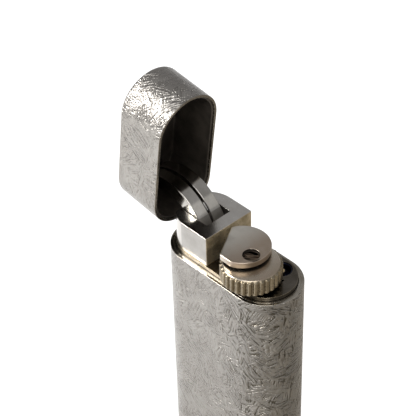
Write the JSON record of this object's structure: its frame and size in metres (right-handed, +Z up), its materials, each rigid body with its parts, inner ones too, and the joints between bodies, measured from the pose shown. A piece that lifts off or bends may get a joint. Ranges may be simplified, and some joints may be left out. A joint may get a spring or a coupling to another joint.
{
  "type": "flip-top pocket lighter",
  "caption": "Slim oval metal pocket gas lighter with engraved case, cap swung open on curved hinge arms, knurled thumb wheel and burner.",
  "frame": {"origin": "centre of the underside of the base plate, the plane the lighter stands on", "axes": "+Z up out of the rim, +X from the hinge end towards the thumb wheel end, -Y the broad front face that the wheel stands out of"},
  "size_m": [0.034, 0.0129, 0.0879],
  "materials": {
    "engraved_silver": "satin silver-toned metal engraved all over with fine random strokes",
    "polished_steel": "polished",
    "deck_metal": "smooth polished deck with light brushing",
    "dark_liner": "dark satin inner lining",
    "satin_steel": "satin, faint turning marks",
    "wheel_steel": "knurled, slightly warm",
    "dark_steel": "hardened dark steel",
    "brass": "turned brass",
    "flint": "sintered flint",
    "spring_steel": "drawn wire",
    "seal_rubber": "black rubber"
  },
  "bodies": {
    "case": {"body_shell": "engraved_silver", "rim_collar": "polished_steel", "base_plate": "satin_steel", "base_screws": "satin_steel", "fuel_tank": "brass", "tank_top": "brass", "core_frame": "satin_steel", "deck_plate": "deck_metal", "hinge_block": "polished_steel", "guide_plate": "dark_steel", "guide_pins": "satin_steel", "bracket_post": "satin_steel", "flint_tube": "brass", "flint": "flint", "flint_follower": "satin_steel", "flint_spring": "spring_steel", "burner_cup": "dark_steel", "valve_body": "brass", "valve_seal": "seal_rubber", "valve_spring": "spring_steel", "lever_pin": "satin_steel", "refill_body": "brass", "refill_seal": "seal_rubber", "refill_spring": "spring_steel"},
    "cap": {"lid_shell": "engraved_silver", "lid_liner": "dark_liner", "arm_bridge": "dark_steel", "bridge_rivets": "satin_steel", "hinge_arm_front": "polished_steel", "hinge_arm_rear": "polished_steel"},
    "bracket": {"bracket_plate": "satin_steel", "wheel_screw": "dark_steel", "screw_washer": "satin_steel"},
    "wheel": {"thumb_wheel": "wheel_steel", "striker_ring": "dark_steel"},
    "flint_screw": {"flint_screw": "brass"},
    "lever": {"valve_lever": "satin_steel"},
    "nozzle": {"burner_nozzle": "brass"},
    "refill": {"refill_stem": "brass"}
  },
  "joints": [
    {"name": "cap_hinge", "type": "hinge", "parent": "case", "child": "cap", "pos_m": [-0.01327, 0, 0.06134], "axis": [0, 1, 0], "range_deg": [0, 82.2]},
    {"name": "bracket_swing", "type": "hinge", "parent": "case", "child": "bracket", "pos_m": [0.00045, 0.001, 0.0639], "axis": [0, 0, 1], "range_deg": [0, 22.1]},
    {"name": "wheel_spin", "type": "hinge", "parent": "bracket", "child": "wheel", "pos_m": [0.0054, -0.00208, 0.0636], "axis": [0, 0, 1], "continuous": true},
    {"name": "flint_screw_turn", "type": "hinge", "parent": "case", "child": "flint_screw", "pos_m": [0.0037, 0.0006, 0.001], "axis": [0, 0, 1], "continuous": true},
    {"name": "lever_rock", "type": "hinge", "parent": "case", "child": "lever", "pos_m": [0.001, 0.0029, 0.0561], "axis": [0, 1, 0], "range_deg": [0, 4.1]},
    {"name": "nozzle_lift", "type": "slide", "parent": "case", "child": "nozzle", "axis": [0, 0, 1], "range_m": [-0.00043, 0], "deforming": ["valve_spring"]},
    {"name": "refill_press", "type": "slide", "parent": "case", "child": "refill", "axis": [0, 0, 1], "range_m": [0, 0.0008], "stiffness_N_per_m": 40, "springref_m": -0.0004, "deforming": ["refill_spring"]}
  ],
  "couplings": [
    {"joint": "bracket_swing", "follows": "cap_hinge", "ratio": 0.26764},
    {"joint": "lever_rock", "follows": "cap_hinge", "ratio": 0.048662},
    {"joint": "nozzle_lift", "follows": "cap_hinge", "m_per_rad": -0.00029275}
  ]
}
